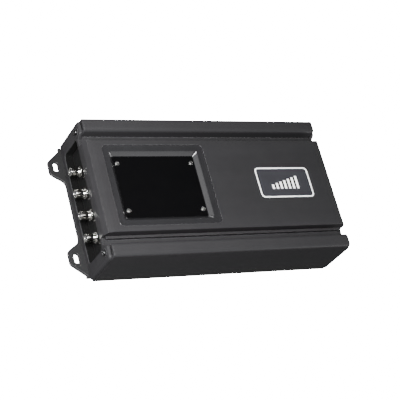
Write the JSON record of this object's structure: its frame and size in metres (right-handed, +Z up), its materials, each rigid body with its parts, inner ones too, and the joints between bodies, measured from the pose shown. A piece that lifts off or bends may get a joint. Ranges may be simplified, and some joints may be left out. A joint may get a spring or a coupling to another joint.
{
  "type": "car amplifier",
  "caption": "Flat black car audio amplifier: a finned-groove extruded body with end caps, a screwed window over its controls, a row of phono jacks and slotted mounting ears.",
  "frame": {"origin": "middle of the footprint, on the ground", "axes": "+X along the body from the input end to the power end, +Y across it, +Z up"},
  "size_m": [0.31, 0.15, 0.058],
  "materials": {
    "body_black": "satin powder coat",
    "plate_black": "satin paint",
    "bezel_black": "satin",
    "acrylic_black": "polished",
    "screw_nickel": "bright",
    "screw_black": "black oxide",
    "badge_dark": "satin",
    "badge_white": "gloss",
    "nickel": "polished nickel",
    "brass": "polished",
    "plastic_black": "matte",
    "fuse_green": "gloss",
    "tin": "bright",
    "board_green": "solder mask",
    "steel": "zinc plated",
    "ferrite": "coated core",
    "copper": "enamelled copper",
    "sleeve_black": "shrink sleeve",
    "film_red": "dipped",
    "pad_grey": "silicone",
    "knob_grey": "matte",
    "slider_white": "matte"
  },
  "bodies": {
    "housing": {"badge_bars": "badge_white", "badge_border": "badge_white", "badge_plate": "badge_dark", "base_plate": "plate_black", "base_screws": "screw_black", "board_screws": "steel", "board_standoffs": "steel", "cap_screws_left": "screw_black", "cap_screws_right": "screw_black", "clamp_bars": "steel", "clamp_screws": "steel", "control_board": "board_green", "control_panel": "plate_black", "control_posts": "steel", "control_pots": "steel", "end_cap_left": "body_black", "end_cap_right": "body_black", "filter_capacitors": "sleeve_black", "fuse_blades": "tin", "fuse_bodies": "fuse_green", "fuse_holder": "plastic_black", "heatsink_body": "body_black", "input_board": "board_green", "input_panel": "plate_black", "main_board": "board_green", "output_capacitors": "film_red", "output_inductor_coils": "copper", "output_inductor_cores": "ferrite", "output_panel": "plate_black", "output_transistors": "plastic_black", "power_terminal_block": "plastic_black", "power_terminal_clamps": "nickel", "power_terminal_screws": "nickel", "rca_contacts": "brass", "rca_insulators": "plastic_black", "rca_nuts": "nickel", "rca_shells": "nickel", "rca_washers": "nickel", "speaker_terminal_block": "plastic_black", "speaker_terminal_clamps": "nickel", "speaker_terminal_screws": "nickel", "supply_transistors": "plastic_black", "switch_bodies": "plastic_black", "thermal_pads": "pad_grey", "top_cover": "body_black", "toroid_core": "ferrite", "toroid_winding": "copper", "window_bezel": "bezel_black", "window_panel": "acrylic_black", "window_screws": "screw_nickel"},
    "knob_front_gain": {"knob_front_gain": "knob_grey"},
    "knob_front_filter": {"knob_front_filter": "knob_grey"},
    "knob_front_bass": {"knob_front_bass": "knob_grey"},
    "knob_rear_gain": {"knob_rear_gain": "knob_grey"},
    "knob_rear_filter": {"knob_rear_filter": "knob_grey"},
    "knob_rear_bass": {"knob_rear_bass": "knob_grey"},
    "slider_front_crossover": {"slider_front_crossover": "slider_white"},
    "slider_input_mode": {"slider_input_mode": "slider_white"},
    "slider_rear_crossover": {"slider_rear_crossover": "slider_white"}
  },
  "joints": [
    {"name": "turn_front_gain", "type": "hinge", "parent": "housing", "child": "knob_front_gain", "pos_m": [-0.0904, -0.017, 0.049], "axis": [0, 0, 1], "range_deg": [-140, 140]},
    {"name": "turn_front_filter", "type": "hinge", "parent": "housing", "child": "knob_front_filter", "pos_m": [-0.0654, -0.017, 0.049], "axis": [0, 0, 1], "range_deg": [-140, 140]},
    {"name": "turn_front_bass", "type": "hinge", "parent": "housing", "child": "knob_front_bass", "pos_m": [-0.0404, -0.017, 0.049], "axis": [0, 0, 1], "range_deg": [-140, 140]},
    {"name": "turn_rear_gain", "type": "hinge", "parent": "housing", "child": "knob_rear_gain", "pos_m": [-0.0904, 0.017, 0.049], "axis": [0, 0, 1], "range_deg": [-140, 140]},
    {"name": "turn_rear_filter", "type": "hinge", "parent": "housing", "child": "knob_rear_filter", "pos_m": [-0.0654, 0.017, 0.049], "axis": [0, 0, 1], "range_deg": [-140, 140]},
    {"name": "turn_rear_bass", "type": "hinge", "parent": "housing", "child": "knob_rear_bass", "pos_m": [-0.0404, 0.017, 0.049], "axis": [0, 0, 1], "range_deg": [-140, 140]},
    {"name": "slide_front_crossover", "type": "slide", "parent": "housing", "child": "slider_front_crossover", "axis": [1, 0, 0], "range_m": [-0.002, 0.002]},
    {"name": "slide_input_mode", "type": "slide", "parent": "housing", "child": "slider_input_mode", "axis": [1, 0, 0], "range_m": [-0.002, 0.002]},
    {"name": "slide_rear_crossover", "type": "slide", "parent": "housing", "child": "slider_rear_crossover", "axis": [1, 0, 0], "range_m": [-0.002, 0.002]}
  ]
}
